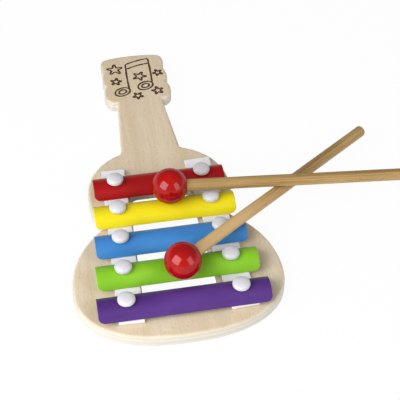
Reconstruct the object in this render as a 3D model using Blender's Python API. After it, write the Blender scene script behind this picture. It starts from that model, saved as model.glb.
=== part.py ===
"""Toy xylophone on a guitar-shaped board, with its two mallets.

Lengths are metres, angles are degrees, +Z is up and +Y runs along the midline to the head.
The origin is the middle of the board's underside.  Five arched tone bars lie across two foam
strips.  Each bar is kept in place by two nails whose plastic caps leave it room to ring.
One mallet's ball lies on the fourth bar and its stick on the third, beside a cap.  The other
mallet's ball lies on the second bar and its stick crosses over the first stick.
"""

import math

import bmesh
import bpy
import numpy as np
from mathutils import Matrix, Vector

# Room between two pieces that touch
contact_gap = 0.0003

# Board, seen from above: tail, lower bout, waist, upper bout, neck and head
board_length = 0.244
board_thickness = 0.008
board_edge_radius = 0.0017
lower_bout_half_width = 0.0593
lower_bout_from_tail = 0.0402
tail_power = 2.35
waist_from_tail = 0.0858
waist_depth = 0.0054
upper_bout_half_width = 0.0428
upper_bout_from_tail = 0.1112
shoulder_height = 0.0396
shoulder_power = 2.2
neck_foot_half_width = 0.0184
neck_foot_blend = 0.0022
neck_top_half_width = 0.0146
head_length = 0.0483
head_half_width = 0.0218

# Half outline of the head, as shares of its half width and of its length
cheek_shares = ((0.845, 0.027), (0.964, 0.093), (1.0, 0.197), (0.982, 0.29), (0.927, 0.358))
temple_shares = ((0.927, 0.358), (0.968, 0.42), (0.982, 0.518), (0.964, 0.596), (0.927, 0.646))
brow_shares = ((0.927, 0.646), (0.95, 0.729), (0.964, 0.836))
crown_shares = ((0.918, 0.921), (0.764, 0.967), (0.41, 0.99), (0.0, 1.0))

# Opening through the board below the bars
opening_head_from_tail = 0.1124
opening_tail_from_tail = 0.0212
opening_head_half_width = 0.0185
opening_tail_half_width = 0.0219
opening_corner_radius = 0.006

# Tone bars: strips of metal rolled to an arch, the shortest nearest the head
bar_names = ("red", "yellow", "blue", "green", "purple")
middle_bar_from_tail = 0.0673
bar_pitch = 0.0232
shortest_bar_length = 0.0783
bar_length_step = 0.0042
bar_outer_radius = 0.0092
bar_wall = 0.001
bar_half_angle = 72.0
bar_corner_radius = 0.0036
bar_hole_radius = 0.0024
bar_play = 0.0004

# Foam strips under the bars' ends
foam_thickness = 0.0024
left_foam_width = 0.0141
left_foam_head_overhang = 0.0172
left_foam_tail_overhang = 0.0088
left_foam_shift_at_first_nail = -0.0004
left_foam_shift_at_last_nail = 0.0017
right_foam_width = 0.0155
right_foam_head_overhang = 0.0189
right_foam_tail_overhang = 0.0078
right_foam_shift_at_first_nail = 0.0013
right_foam_shift_at_last_nail = 0.0007

# Nails and the plastic caps moulded over their heads
nail_spacing_share = 0.662
nail_radius = 0.0009
nail_head_radius = 0.0022
nail_head_thickness = 0.0006
nail_point_length = 0.0018
nail_depth_in_board = 0.006
cap_radius = 0.0049
cap_rim_height = 0.0013
cap_dome_height = 0.0022
cap_edge_bevel = 0.0003
cap_floor = 0.0005
cap_hub_radius = 0.0019
cap_hub_length = 0.0026

# Mallets: a bored wooden ball on a bamboo stick
ball_radius = 0.0104
ball_bore_depth = 0.013
ball_bore_chamfer = 0.0005
stick_radius = 0.0035
stick_length = 0.17
stick_end_bevel = 0.0007
lower_ball_x = 0.0019
lower_ball_lean = -23.1
stick_past_cap_share = 0.77
upper_ball_x = 0.0038
upper_ball_lean = 8.0
upper_stick_azimuth = -3.3

# How finely round shapes are cut
arc_steps = 12
edge_steps = 3
spline_steps = 4
hole_sides = 12
bar_hole_sides = 16
nail_sides = 10
cap_sides = 18
stick_sides = 18
ball_sides = 26
ball_steps = 12
dome_steps = 4
bar_steps = 12
settle_passes = 6

# Heights and places that follow from the sizes above
tail_y = -board_length / 2
neck_top_y = board_length / 2 - head_length
foam_base_z = board_thickness + contact_gap
foam_top_z = foam_base_z + foam_thickness
bar_base_z = foam_top_z + contact_gap
bar_inner_radius = bar_outer_radius - bar_wall
bar_axis_z = bar_base_z - bar_inner_radius * math.cos(math.radians(bar_half_angle))
bar_crest_z = bar_axis_z + bar_outer_radius
cap_base_z = bar_crest_z + bar_play + contact_gap
nail_hole_radius = nail_radius + contact_gap
nail_tip_z = board_thickness - nail_depth_in_board
middle_bar = (len(bar_names) - 1) / 2
mallet_gap = bar_play + contact_gap / 3


def clear_scene():
    """Empties the file of the objects that it starts with."""
    for old in list(bpy.data.objects):
        bpy.data.objects.remove(old, do_unlink=True)


def make_material(name, colour, roughness, metallic=0.0):
    """A plain Principled BSDF surface."""
    material = bpy.data.materials.new(name)
    material.use_nodes = True
    shader = material.node_tree.nodes["Principled BSDF"]
    shader.inputs["Base Color"].default_value = (*colour, 1.0)
    shader.inputs["Roughness"].default_value = roughness
    shader.inputs["Metallic"].default_value = metallic
    return material


def make_object(name, bm, material, place=(0.0, 0.0, 0.0)):
    """Turns a finished bmesh into a named object whose faces point outwards."""
    bmesh.ops.recalc_face_normals(bm, faces=bm.faces)
    mesh = bpy.data.meshes.new(name)
    bm.to_mesh(mesh)
    bm.free()
    mesh.shade_smooth()
    mesh.set_sharp_from_angle(angle=math.radians(35.0))
    mesh.materials.append(material)
    obj = bpy.data.objects.new(name, mesh)
    obj.location = place
    bpy.context.scene.collection.objects.link(obj)
    return obj


def turned(profile, sides):
    """A solid of revolution about Z from a list of (radius, height) points that ends on the axis."""
    bm = bmesh.new()
    verts = [bm.verts.new((radius, 0.0, height)) for radius, height in profile]
    edges = [bm.edges.new(pair) for pair in zip(verts, verts[1:])]
    bmesh.ops.spin(
        bm,
        geom=verts + edges,
        cent=(0.0, 0.0, 0.0),
        axis=(0.0, 0.0, 1.0),
        dvec=(0.0, 0.0, 0.0),
        angle=math.tau,
        steps=sides,
        use_merge=True,
    )
    bmesh.ops.remove_doubles(bm, verts=bm.verts, dist=contact_gap / 1000)
    return bm


def circle(centre, radius, sides):
    """Points round a circle, anticlockwise."""
    angles = np.linspace(0.0, math.tau, sides, endpoint=False)
    return np.array(centre) + radius * np.stack([np.cos(angles), np.sin(angles)], axis=1)


def smooth_through(points, steps):
    """Catmull-Rom curve through the points, without the last one."""
    p = np.array(points)
    p = np.vstack([2 * p[0] - p[1], p, 2 * p[-1] - p[-2]])
    t = np.linspace(0.0, 1.0, steps, endpoint=False)[:, None]
    spans = []
    for a, b, c, d in zip(p, p[1:], p[2:], p[3:]):
        line = 2 * b + (c - a) * t
        bend = (2 * a - 5 * b + 4 * c - d) * t**2 + (3 * b - a - 3 * c + d) * t**3
        spans.append((line + bend) / 2)
    return np.vstack(spans)


def shoulder_y(x):
    """Height of the upper bout's shoulder over its widest place, at a distance from the midline."""
    share = (x / upper_bout_half_width) ** shoulder_power
    return tail_y + upper_bout_from_tail + shoulder_height * (1 - share) ** (1 / shoulder_power)


def tail_curve():
    """Super-ellipse from the tail's middle out to the lower bout's widest place."""
    t = np.linspace(0.0, math.pi / 2, arc_steps, endpoint=False)
    x = lower_bout_half_width * np.sin(t) ** (2 / tail_power)
    y = tail_y + lower_bout_from_tail * (1 - np.cos(t) ** (2 / tail_power))
    return np.stack([x, y], axis=1)


def waist_curves():
    """Two elliptic flanks that meet in the waist's corner."""
    waist_x = upper_bout_half_width - waist_depth
    low_end = math.acos(waist_x / lower_bout_half_width)
    low_rise = (waist_from_tail - lower_bout_from_tail) / math.sin(low_end)
    t = np.linspace(0.0, low_end, arc_steps, endpoint=False)
    low = [lower_bout_half_width * np.cos(t), tail_y + lower_bout_from_tail + low_rise * np.sin(t)]
    high_end = math.acos(waist_x / upper_bout_half_width)
    high_rise = (upper_bout_from_tail - waist_from_tail) / math.sin(high_end)
    t = np.linspace(high_end, 0.0, arc_steps // 2, endpoint=False)
    high = [upper_bout_half_width * np.cos(t), tail_y + upper_bout_from_tail - high_rise * np.sin(t)]
    return np.hstack([low, high]).T


def shoulder_curve():
    """Super-ellipse from the upper bout's widest place to the foot of the neck, then the blend."""
    blend_x = neck_foot_half_width + neck_foot_blend
    end = math.acos((blend_x / upper_bout_half_width) ** (shoulder_power / 2))
    t = np.linspace(0.0, end, arc_steps, endpoint=False)
    x = upper_bout_half_width * np.cos(t) ** (2 / shoulder_power)
    shoulder = np.stack([x, shoulder_y(x)], axis=1)
    start = np.array([blend_x, shoulder_y(blend_x)])
    corner = np.array([neck_foot_half_width, shoulder_y(neck_foot_half_width)])
    top = np.array([neck_top_half_width, neck_top_y])
    stop = corner + (top - corner) * neck_foot_blend / (top - corner)[1]
    t = np.linspace(0.0, 1.0, spline_steps + 1)[:, None]
    blend = (1 - t) ** 2 * start + 2 * t * (1 - t) * corner + t**2 * stop
    return np.vstack([shoulder, blend])


def head_curve():
    """The head's scalloped side, in three lobes, from the neck to the middle of the crown."""
    size = np.array([head_half_width, head_length])
    foot = np.array([0.0, neck_top_y])
    lobes = [
        [foot + size * share for share in shares]
        for shares in (cheek_shares, temple_shares, brow_shares + crown_shares)
    ]
    lobes[0].insert(0, (neck_top_half_width, neck_top_y))
    return np.vstack([smooth_through(lobe, spline_steps) for lobe in lobes] + [lobes[-1][-1]])


def board_outline():
    """The whole outline, anticlockwise from the middle of the tail."""
    right = np.vstack([tail_curve(), waist_curves(), shoulder_curve(), head_curve()])
    left = right[1:-1][::-1] * (-1, 1)
    return np.vstack([right, left])


def opening_outline():
    """The opening's trapezium with round corners, clockwise."""
    head_y = tail_y + opening_head_from_tail
    foot_y = tail_y + opening_tail_from_tail
    corners = np.array(
        [
            (-opening_head_half_width, head_y),
            (opening_head_half_width, head_y),
            (opening_tail_half_width, foot_y),
            (-opening_tail_half_width, foot_y),
        ]
    )
    return rounded(corners, opening_corner_radius)


def rounded(corners, radius):
    """Gives each corner of a clockwise outline a round of one radius."""
    points = []
    for before, corner, after in zip(np.roll(corners, 1, axis=0), corners, np.roll(corners, -1, axis=0)):
        u = (before - corner) / np.linalg.norm(before - corner)
        v = (after - corner) / np.linalg.norm(after - corner)
        half_angle = math.acos(np.dot(u, v)) / 2
        middle = corner + (u + v) / np.linalg.norm(u + v) * radius / math.sin(half_angle)
        start = corner + u * radius / math.tan(half_angle) - middle
        turn = math.pi - 2 * half_angle
        for angle in np.linspace(0.0, turn, arc_steps // 2):
            c, s = math.cos(angle), math.sin(angle)
            points.append(middle + (c * start[0] + s * start[1], c * start[1] - s * start[0]))
    return np.array(points)


def moved_into_wood(outline, distance):
    """Moves an outline to its left, into the slab, with mitred corners."""
    step = np.roll(outline, -1, axis=0) - outline
    normal = np.stack([-step[:, 1], step[:, 0]], axis=1) / np.linalg.norm(step, axis=1)[:, None]
    before = np.roll(normal, 1, axis=0)
    mitre = (normal + before) / (1 + (normal * before).sum(axis=1))[:, None]
    return outline + distance * mitre


def ring(bm, outline, height):
    """A closed ring of vertices at one height."""
    return [bm.verts.new((x, y, height)) for x, y in outline]


def walls(bm, rings):
    """Quads between each ring and the next."""
    for low, high in zip(rings, rings[1:]):
        for a, b, c, d in zip(low, low[1:] + low[:1], high[1:] + high[:1], high):
            bm.faces.new((a, b, c, d))


def fill(bm, rings, up):
    """A flat face that is bounded by several rings."""
    edges = [bm.edges.get(pair) for loop in rings for pair in zip(loop, loop[1:] + loop[:1])]
    bmesh.ops.triangle_fill(bm, edges=edges, use_beauty=True, normal=(0.0, 0.0, up))


def slab(outlines, low_z, high_z, edge_radius=0.0, blind_holes=(), blind_z=0.0):
    """A flat plate with openings, rounded along every edge, and blind holes in its top."""
    bm = bmesh.new()
    angles = np.linspace(0.0, math.pi / 2, edge_steps + 1) if edge_radius else [0.0]
    inset = [edge_radius * (1 - math.sin(a)) for a in angles]
    rise = [edge_radius * (1 - math.cos(a)) for a in angles]
    bottoms, tops = [], []
    for outline in outlines:
        low = [ring(bm, moved_into_wood(outline, i), low_z + r) for i, r in zip(inset, rise)]
        high = [ring(bm, moved_into_wood(outline, i), high_z - r) for i, r in zip(inset, rise)]
        walls(bm, low + high[::-1])
        bottoms.append(low[0])
        tops.append(high[0])
    for outline in blind_holes:
        floor = ring(bm, outline, blind_z)
        mouth = ring(bm, outline, high_z)
        walls(bm, [floor, mouth])
        bm.faces.new(floor)
        tops.append(mouth)
    fill(bm, bottoms, -1.0)
    fill(bm, tops, 1.0)
    return bm


def bar_y(index):
    """A bar's centre line, counted from the head."""
    return tail_y + middle_bar_from_tail + (middle_bar - index) * bar_pitch


def bar_length(index):
    """A bar's length, counted from the head."""
    return shortest_bar_length + index * bar_length_step


def nail_place(index, side):
    """Where a bar's nail stands, on the left (-1) or the right (1)."""
    return side * nail_spacing_share * bar_length(index) / 2, bar_y(index)


def nail_holes(side, radius):
    """Round holes at one side's five nails."""
    return [circle(nail_place(i, side), radius, hole_sides) for i in range(len(bar_names))]


def make_board(material):
    """The wooden board with its opening and a blind hole for each nail."""
    blind = nail_holes(-1, nail_hole_radius) + nail_holes(1, nail_hole_radius)
    floor_z = nail_tip_z - contact_gap
    outlines = [board_outline(), opening_outline()]
    bm = slab(outlines, 0.0, board_thickness, board_edge_radius, blind, floor_z)
    return make_object("board", bm, material)


def make_foam(name, side, width, overhangs, shifts, material):
    """One foam strip along one side's nails, pierced by them, glued a little beside their line."""
    head = np.array(nail_place(0, side)) + (shifts[0], 0.0)
    foot = np.array(nail_place(len(bar_names) - 1, side)) + (shifts[1], 0.0)
    along = (head - foot) / np.linalg.norm(head - foot)
    across = np.array([along[1], -along[0]]) * width / 2
    head = head + along * overhangs[0]
    foot = foot - along * overhangs[1]
    outline = np.array([foot + across, head + across, head - across, foot - across])
    holes = [hole[::-1] for hole in nail_holes(side, nail_hole_radius)]
    return make_object(name, slab([outline, *holes], foam_base_z, foam_top_z), material)


def bar_rows(length):
    """Half length of the flat strip at each place across it, with its corners rounded."""
    half_arc = bar_outer_radius * math.radians(bar_half_angle)
    straight = half_arc - bar_corner_radius
    middle = np.linspace(-straight, straight, bar_steps)
    t = np.linspace(0.0, math.pi / 2, spline_steps + 1)[1:]
    rise = straight + bar_corner_radius * np.sin(t)
    cut = bar_corner_radius * (1 - np.cos(t))
    places = np.concatenate([-rise[::-1], middle, rise])
    half = length / 2 - np.concatenate([cut[::-1], np.zeros(bar_steps), cut])
    return places / bar_outer_radius, half


def make_bar(name, index, material, cutters):
    """One arched bar with its two holes, its origin on the bar's middle at its base."""
    outer, inner = bar_outer_radius, bar_inner_radius
    bm = bmesh.new()
    rows = []
    for angle, reach in zip(*bar_rows(bar_length(index))):
        row = []
        for radius, x in ((outer, -reach), (outer, reach), (inner, reach), (inner, -reach)):
            height = radius * math.cos(angle) + bar_axis_z - bar_base_z
            row.append(bm.verts.new((x, radius * math.sin(angle), height)))
        rows.append(row)
    walls(bm, rows)
    bm.faces.new(rows[0])
    bm.faces.new(rows[-1])
    bar = make_object(name, bm, material, (0.0, bar_y(index), bar_base_z))
    for side, cutter in zip((-1, 1), cutters):
        cutter.location.x = nail_place(index, side)[0]
        cutter.location.y = bar_y(index)
        cut = bar.modifiers.new("hole", "BOOLEAN")
        cut.operation = "DIFFERENCE"
        cut.solver = "EXACT"
        cut.object = cutter
    return bar


def make_cutter(name):
    """A round guide that cuts a bar's hole and isn't itself part of the toy."""
    radius, reach = bar_hole_radius, bar_outer_radius
    bm = turned(((0.0, -reach), (radius, -reach), (radius, reach), (0.0, reach)), bar_hole_sides)
    bmesh.ops.recalc_face_normals(bm, faces=bm.faces)
    mesh = bpy.data.meshes.new(name)
    bm.to_mesh(mesh)
    bm.free()
    cutter = bpy.data.objects.new(name, mesh)
    cutter.location.z = bar_crest_z
    cutter.hide_render = True
    cutter.display_type = "WIRE"
    bpy.context.scene.collection.objects.link(cutter)
    return cutter


def nail_profile():
    """Flat head, shank and point, measured from the cap's underside."""
    head_base = cap_floor + contact_gap
    head_top = head_base + nail_head_thickness
    tip = nail_tip_z - cap_base_z
    return (
        (0.0, head_top),
        (nail_head_radius, head_top),
        (nail_head_radius, head_base),
        (nail_radius, head_base),
        (nail_radius, tip + nail_point_length),
        (0.0, tip),
    )


def cap_profile():
    """Domed button with a rim, a hub that centres the bar, and a pocket for the nail's head."""
    pocket_radius = nail_head_radius + contact_gap
    pocket_top = cap_floor + nail_head_thickness + 2 * contact_gap
    dome = [
        (cap_radius * math.sin(a), cap_rim_height + cap_dome_height * math.cos(a))
        for a in np.linspace(0.0, math.pi / 2, dome_steps + 1)
    ]
    return (
        *dome,
        (cap_radius, cap_edge_bevel),
        (cap_radius - cap_edge_bevel, 0.0),
        (cap_hub_radius, 0.0),
        (cap_hub_radius, -cap_hub_length),
        (nail_hole_radius, -cap_hub_length),
        (nail_hole_radius, cap_floor),
        (pocket_radius, cap_floor),
        (pocket_radius, pocket_top),
        (0.0, pocket_top),
    )


def make_fasteners(name, index, side, cap_material, nail_material):
    """A nail and its cap at one end of a bar."""
    x, y = nail_place(index, side)
    place = (x, y, cap_base_z)
    make_object(name + "_cap", turned(cap_profile(), cap_sides), cap_material, place)
    make_object(name + "_nail", turned(nail_profile(), nail_sides), nail_material, place)


def ball_profile():
    """A ball about the origin with a blind bore from +Z, its mouth chamfered."""
    bore = stick_radius + contact_gap
    mouth = bore + ball_bore_chamfer
    mouth_z = math.sqrt(ball_radius**2 - mouth**2)
    stop = math.pi - math.asin(mouth / ball_radius)
    surface = [
        (ball_radius * math.sin(a), -ball_radius * math.cos(a))
        for a in np.linspace(0.0, stop, ball_steps + 1)
    ]
    floor_z = ball_radius - ball_bore_depth
    return (*surface, (bore, mouth_z - ball_bore_chamfer), (bore, floor_z), (0.0, floor_z))


def stick_profile():
    """A round stick up +Z from the bore's floor, with bevelled ends."""
    start = ball_radius - ball_bore_depth + contact_gap
    stop = start + stick_length
    return (
        (0.0, start),
        (stick_radius - stick_end_bevel, start),
        (stick_radius, start + stick_end_bevel),
        (stick_radius, stop - stick_end_bevel),
        (stick_radius - stick_end_bevel, stop),
        (0.0, stop),
    )


def direction(azimuth, rise):
    """Unit vector at an azimuth from +X, with a rise per length on the plan, in radians and a ratio."""
    return Vector((math.cos(azimuth), math.sin(azimuth), rise)).normalized()


def ball_centre(index, x, lean):
    """Centre of a ball that lies on a bar, leaning from its crest towards the head by an angle."""
    reach = bar_outer_radius + ball_radius + mallet_gap
    lean = math.radians(lean)
    return Vector((x, bar_y(index) + reach * math.sin(lean), bar_axis_z + reach * math.cos(lean)))


def lower_mallet_line():
    """Ball centre and stick direction of the mallet that lies on the fourth and third bars."""
    third, fourth = 2, 3
    centre = ball_centre(fourth, lower_ball_x, lower_ball_lean)
    run = bar_y(third) - centre.y
    drop = centre.z - bar_axis_z
    clear = bar_outer_radius + stick_radius + mallet_gap
    tilt = math.atan2(run, drop) - math.acos(clear / math.hypot(run, drop))
    to_cap = Vector(nail_place(third, 1)) - centre.xy
    past_cap = cap_radius + stick_past_cap_share * stick_radius
    azimuth = math.atan2(to_cap.y, to_cap.x) - math.asin(past_cap / to_cap.length)
    return centre, direction(azimuth, math.tan(tilt) * math.sin(azimuth))


def upper_mallet_line(lower_centre, lower_way):
    """Ball centre and stick direction of the mallet that lies on the second bar and on the other stick."""
    second = 1
    centre = ball_centre(second, upper_ball_x, upper_ball_lean)
    azimuth = math.radians(upper_stick_azimuth)
    way = direction(azimuth, 0.0)
    between = lower_centre - centre
    for _ in range(settle_passes):
        normal = lower_way.cross(way)
        normal = normal / -normal.z if normal.z < 0 else normal / normal.z
        plan = way.x * lower_way.y - way.y * lower_way.x
        along = (between.x * lower_way.y - between.y * lower_way.x) / plan
        along_lower = (between.x * way.y - between.y * way.x) / plan
        crossing_z = lower_centre.z + along_lower * lower_way.z
        target_z = crossing_z + (2 * stick_radius + contact_gap) * normal.length
        plan_run = along * math.hypot(way.x, way.y)
        way = direction(azimuth, (target_z - centre.z) / plan_run)
    return centre, way


def make_mallet(name, centre, way, ball_material, stick_material):
    """Ball and stick under one empty that stands at the ball's centre and points up the stick."""
    holder = bpy.data.objects.new(name, None)
    holder.matrix_world = Matrix.Translation(centre) @ way.to_track_quat("Z", "Y").to_matrix().to_4x4()
    bpy.context.scene.collection.objects.link(holder)
    ball = make_object(name + "_ball", turned(ball_profile(), ball_sides), ball_material)
    stick = make_object(name + "_stick", turned(stick_profile(), stick_sides), stick_material)
    for piece in (ball, stick):
        piece.parent = holder


def main():
    clear_scene()
    birch = make_material("birch_plywood", (0.66, 0.52, 0.36), 0.6)
    foam = make_material("white_foam", (0.82, 0.82, 0.83), 0.9)
    plastic = make_material("white_plastic", (0.74, 0.75, 0.78), 0.35)
    steel = make_material("steel", (0.55, 0.55, 0.56), 0.35, 1.0)
    lacquer = make_material("red_lacquer", (0.55, 0.01, 0.008), 0.15)
    bamboo = make_material("bamboo", (0.53, 0.33, 0.13), 0.5)
    enamels = {
        "red": (0.49, 0.01, 0.012),
        "yellow": (0.88, 0.75, 0.02),
        "blue": (0.055, 0.23, 0.58),
        "green": (0.2, 0.54, 0.03),
        "purple": (0.11, 0.045, 0.27),
    }

    make_board(birch)
    overhangs = (left_foam_head_overhang, left_foam_tail_overhang)
    shifts = (left_foam_shift_at_first_nail, left_foam_shift_at_last_nail)
    make_foam("left_foam_strip", -1, left_foam_width, overhangs, shifts, foam)
    overhangs = (right_foam_head_overhang, right_foam_tail_overhang)
    shifts = (right_foam_shift_at_first_nail, right_foam_shift_at_last_nail)
    make_foam("right_foam_strip", 1, right_foam_width, overhangs, shifts, foam)
    for index, colour in enumerate(bar_names):
        name = colour + "_bar"
        enamel = make_material(colour + "_enamel", enamels[colour], 0.3)
        cutters = [make_cutter(name + side + "_hole_guide") for side in ("_left", "_right")]
        make_bar(name, index, enamel, cutters)
        make_fasteners(name + "_left", index, -1, plastic, steel)
        make_fasteners(name + "_right", index, 1, plastic, steel)

    lower_centre, lower_way = lower_mallet_line()
    make_mallet("lower_mallet", lower_centre, lower_way, lacquer, bamboo)
    upper_centre, upper_way = upper_mallet_line(lower_centre, lower_way)
    make_mallet("upper_mallet", upper_centre, upper_way, lacquer, bamboo)
    bpy.context.view_layer.update()


main()
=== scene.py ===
# %% [markdown]
# # A toy xylophone, dressed over its solids
#
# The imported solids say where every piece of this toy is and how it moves. This notebook gives
# each of them the surface of the real thing: sanded plywood, enamelled metal bars, soft foam,
# moulded caps, lacquered wooden balls and bamboo sticks.
#
# Every new piece is a surface with two parameters, worked out as whole numpy arrays. That suits
# a toy that is sawn, rolled and turned: an outline carried round an edge, a flat strip bent to
# an arch, or a profile spun round an axis says it all.

import math

import bmesh
import bpy
import numpy as np
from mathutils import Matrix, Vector
from mathutils.geometry import convex_hull_2d, delaunay_2d_cdt


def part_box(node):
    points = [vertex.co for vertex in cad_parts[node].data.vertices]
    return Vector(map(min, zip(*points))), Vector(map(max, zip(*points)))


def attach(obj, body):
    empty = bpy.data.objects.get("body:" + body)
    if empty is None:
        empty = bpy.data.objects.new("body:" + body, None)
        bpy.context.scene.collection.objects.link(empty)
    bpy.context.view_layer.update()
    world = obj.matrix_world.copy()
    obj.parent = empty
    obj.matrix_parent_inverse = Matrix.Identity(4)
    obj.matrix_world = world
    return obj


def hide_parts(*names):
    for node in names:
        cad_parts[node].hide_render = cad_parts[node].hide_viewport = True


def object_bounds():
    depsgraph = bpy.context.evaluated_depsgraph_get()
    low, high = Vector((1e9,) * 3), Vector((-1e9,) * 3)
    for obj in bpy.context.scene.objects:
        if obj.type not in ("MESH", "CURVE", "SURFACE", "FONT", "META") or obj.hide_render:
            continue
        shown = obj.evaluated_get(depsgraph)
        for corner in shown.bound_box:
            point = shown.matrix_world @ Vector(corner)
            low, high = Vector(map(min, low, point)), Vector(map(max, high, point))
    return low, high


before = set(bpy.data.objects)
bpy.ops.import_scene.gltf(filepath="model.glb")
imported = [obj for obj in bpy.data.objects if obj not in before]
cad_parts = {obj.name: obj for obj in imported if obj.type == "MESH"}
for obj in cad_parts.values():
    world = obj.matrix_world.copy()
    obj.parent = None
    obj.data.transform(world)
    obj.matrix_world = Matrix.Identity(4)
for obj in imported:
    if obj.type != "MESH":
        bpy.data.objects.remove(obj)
cad_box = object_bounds()

# %% [markdown]
# ## Sizes
#
# Where a piece stands is read from its solid, so nothing here has to be fitted by eye. What a
# box can't tell, such as the radius that a bar is rolled to, is named in metres where it is
# first needed.

# %% Read the places off the solids
bar_names = ("red", "yellow", "blue", "green", "purple")
sides = ("left", "right")


def corners(node):
    """The lowest and highest corner of a solid."""
    return [np.array(corner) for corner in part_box(node)]


def points_of(mesh):
    """All vertices of a mesh, one row each."""
    flat = np.zeros(len(mesh.vertices) * 3)
    mesh.vertices.foreach_get("co", flat)
    return flat.reshape(-1, 3)


def vertices(node):
    """The places where a solid has a vertex, each once, although its faces don't share vertices."""
    return np.unique(points_of(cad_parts[node].data).round(6), axis=0)


board_low, board_high = corners("board")
board_length = board_high[1] - board_low[1]
lower_bout_half_width = board_high[0]
tail_y = board_low[1]
print(f"board: {board_length * 1000:.1f} by {2 * lower_bout_half_width * 1000:.1f} mm")

# %% [markdown]
# ## From arrays to a piece
#
# A grid of points needs only the rule that says which four of them make a face. With that rule
# in one helper, each shape below is just its formula. A second helper makes the mesh: it merges
# the points that meet at a pole or a seam and turns the faces outwards. Adding vertex after
# vertex would take many more lines.

# %% Faces of a grid
def grid_faces(rows, columns, rows_closed=False, columns_closed=True):
    """Four corners for each cell of a grid whose point (i, j) has the number i * columns + j."""
    i = np.arange(rows if rows_closed else rows - 1)[:, None]
    j = np.arange(columns if columns_closed else columns - 1)[None, :]
    below, beside = (i + 1) % rows, (j + 1) % columns
    cells = [i * columns + j, i * columns + beside, below * columns + beside, below * columns + j]
    return np.stack(cells, axis=-1).reshape(-1, 4)


def joined(*parts):
    """Several (points, faces) pairs as one."""
    offsets = np.cumsum([0] + [len(points) for points, _ in parts[:-1]])
    faces = [(faces + offset).tolist() for (_, faces), offset in zip(parts, offsets)]
    return np.concatenate([points for points, _ in parts]), sum(faces, [])


print("a 3 by 4 grid that closes has", len(grid_faces(3, 4)), "faces")

# %% Mesh and piece
merge_distance = 1e-6
sharp_angle = math.radians(38.0)


def make_mesh(name, points, faces):
    """A closed mesh, the points at its seams and poles merged, its faces turned outwards."""
    mesh = bpy.data.meshes.new(name)
    mesh.from_pydata(points.tolist(), [], list(faces))
    bm = bmesh.new()
    bm.from_mesh(mesh)
    bmesh.ops.remove_doubles(bm, verts=bm.verts, dist=merge_distance)
    bmesh.ops.recalc_face_normals(bm, faces=bm.faces)
    bm.to_mesh(mesh)
    bm.free()
    mesh.shade_smooth()
    mesh.set_sharp_from_angle(angle=sharp_angle)
    return mesh


def make_piece(name, surface, material, body, slot, *nodes):
    """A piece of some points and faces that takes a finish, moves with a body and stands for solids."""
    piece = bpy.data.objects.new(name, make_mesh(name, *surface))
    piece.data.materials.append(material)
    bpy.context.scene.collection.objects.link(piece)
    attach(piece, body)
    if nodes:
        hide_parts(*nodes)
    return piece


print(f"edges over {math.degrees(sharp_angle):.0f} degrees stay sharp")

# %% [markdown]
# ## Colours and nodes
#
# A colour picked from a screen is an sRGB value, and a shader counts in linear light, so one
# function turns the first into the second. Another adds a node with its settings and links in
# a single call, which keeps each material below as short as a recipe. A third adds a texture
# and says how many millimetres one of its cells takes, so that grain and flecks are as large as
# real ones, and a fourth lets it turn one colour to another.

# %% Colours
def colour(code):
    """Linear colour from an sRGB hex code: c / 12.92 near black, ((c + 0.055) / 1.055) ^ 2.4 above."""
    c = np.array([int(code[i : i + 2], 16) / 255 for i in (1, 3, 5)])
    linear = np.where(c <= 0.04045, c / 12.92, ((c + 0.055) / 1.055) ** 2.4)
    return (*linear, 1.0)


print("pale birch in linear light:", [round(c, 3) for c in colour("#D9C8AD")])

# %% Nodes
mm = 0.001
rgba = {"data_type": "RGBA"}


def in_use(sockets, label):
    """The first socket that the node's settings leave in use, with this label if one is given."""
    return next(socket for socket in sockets if socket.enabled and label in ("", socket.name))


def feed(tree, node, **inputs):
    """Sets or links inputs, each named by its label with _ for a space, or by _ and its number.

    A node stands for its own output there, and a hex code for its colour."""
    for key, value in inputs.items():
        if key[0] == "_":
            socket = node.inputs[int(key[1:])]
        else:
            socket = in_use(node.inputs, key.replace("_", " "))
        if isinstance(value, bpy.types.Node):
            value = in_use(value.outputs, "")
        if isinstance(value, bpy.types.NodeSocket):
            tree.links.new(value, socket)
        else:
            socket.default_value = colour(value) if isinstance(value, str) else value


def add(tree, kind, settings=None, **inputs):
    """Adds a node with its settings and inputs."""
    node = tree.nodes.new("ShaderNode" + kind)
    for key, value in (settings or {}).items():
        setattr(node, key, value)
    feed(tree, node, **inputs)
    return node


def pattern(tree, kind, place, cell, settings=None, **inputs):
    """A texture that reads place / cell: cell is in millimetres, one size or one each for X, Y and Z."""
    spread = add(tree, "Mapping", Vector=place, Scale=(1 / (np.ones(3) * cell * mm)).tolist())
    return add(tree, kind, settings, Vector=spread, Scale=1.0, **inputs)


def tinted(tree, base, tint, value, start, stop, most=1.0):
    """Base colour that turns to a tint, by most at the end, as a value goes from start to stop."""
    share = add(tree, "MapRange", Value=value, From_Min=start, From_Max=stop, To_Max=most)
    return add(tree, "Mix", rgba, Factor=share, A=base, B=tint)


def start_material(name, **values):
    """A new material, its tree and its shader, with the shader's own plain values set."""
    material = bpy.data.materials.new(name)
    material.use_nodes = True
    tree = material.node_tree
    shader = tree.nodes["Principled BSDF"]
    feed(tree, shader, **values)
    return material, tree, shader


print("a cell of 2 mm asks for a scale of", 1 / (2 * mm))

# %% [markdown]
# ## Birch plywood
#
# The board is birch plywood, sawn to shape, sanded and left with a thin matt varnish. Three
# things give it away: soft bands of tone that run along the grain, fine fibres and dark flecks
# in the same direction, and the plies that show on its sawn edge.
#
# The grain is noise stretched along Y. The plies are drawn by height alone, and the slope of
# the surface says where they show: on the sawn edge, and not on the face. An image of wood
# would repeat, and would have to be wrapped round the rim.

# %% Birch plywood
ply_thickness_mm = 1.6
ply_change_mm = (0.7, 0.9)


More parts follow.
